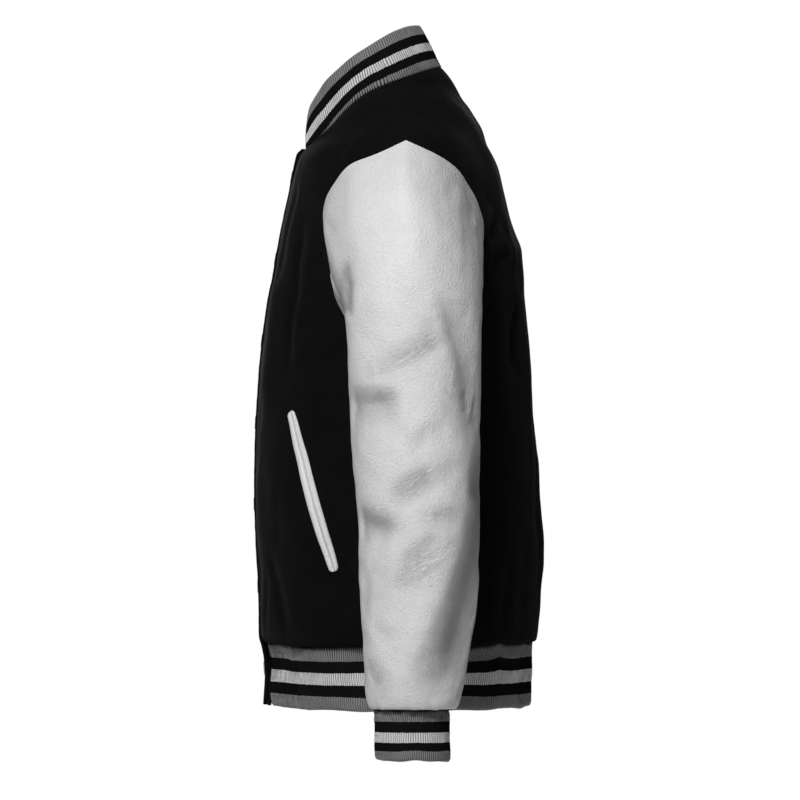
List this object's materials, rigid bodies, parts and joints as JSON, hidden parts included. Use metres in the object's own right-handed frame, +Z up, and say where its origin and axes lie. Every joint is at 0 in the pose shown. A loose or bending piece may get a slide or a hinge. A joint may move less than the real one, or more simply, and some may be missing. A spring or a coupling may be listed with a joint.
{
  "type": "varsity jacket",
  "caption": "Varsity jacket filled out as worn: dark cloth body, pale leather set-in sleeves, striped rib collar, cuffs and hem, slanted welt pockets, snap front.",
  "frame": {"origin": "midway between the two neck points, at the top of the shoulders, where the wearer's shoulders carry the jacket", "axes": "+Z up, -Y the way the wearer faces, +X the wearer's left"},
  "size_m": [0.6888, 0.3186, 0.8002],
  "materials": {
    "black_cloth": "brushed, matte wool-type cloth",
    "pale_leather": "fine pebbled grain, soft sheen",
    "striped_rib_knit": "rib knit in five bands: grey, black, white, black, grey",
    "snap_metal": "satin black"
  },
  "bodies": {
    "root": {"back": "black_cloth", "collar": "striped_rib_knit", "cuff_left": "striped_rib_knit", "cuff_right": "striped_rib_knit", "front_left": "black_cloth", "front_right": "black_cloth", "hem_rib": "striped_rib_knit", "placket_left": "black_cloth", "placket_right": "black_cloth", "pocket_welt_front_left": "pale_leather", "pocket_welt_front_right": "pale_leather", "pocket_welt_rear_left": "pale_leather", "pocket_welt_rear_right": "pale_leather", "sleeve_left": "pale_leather", "sleeve_right": "pale_leather", "snap_cap_1": "snap_metal", "snap_cap_2": "snap_metal", "snap_cap_3": "snap_metal", "snap_cap_4": "snap_metal", "snap_cap_5": "snap_metal", "snap_cap_6": "snap_metal", "snap_cap_7": "snap_metal"}
  },
  "joints": []
}
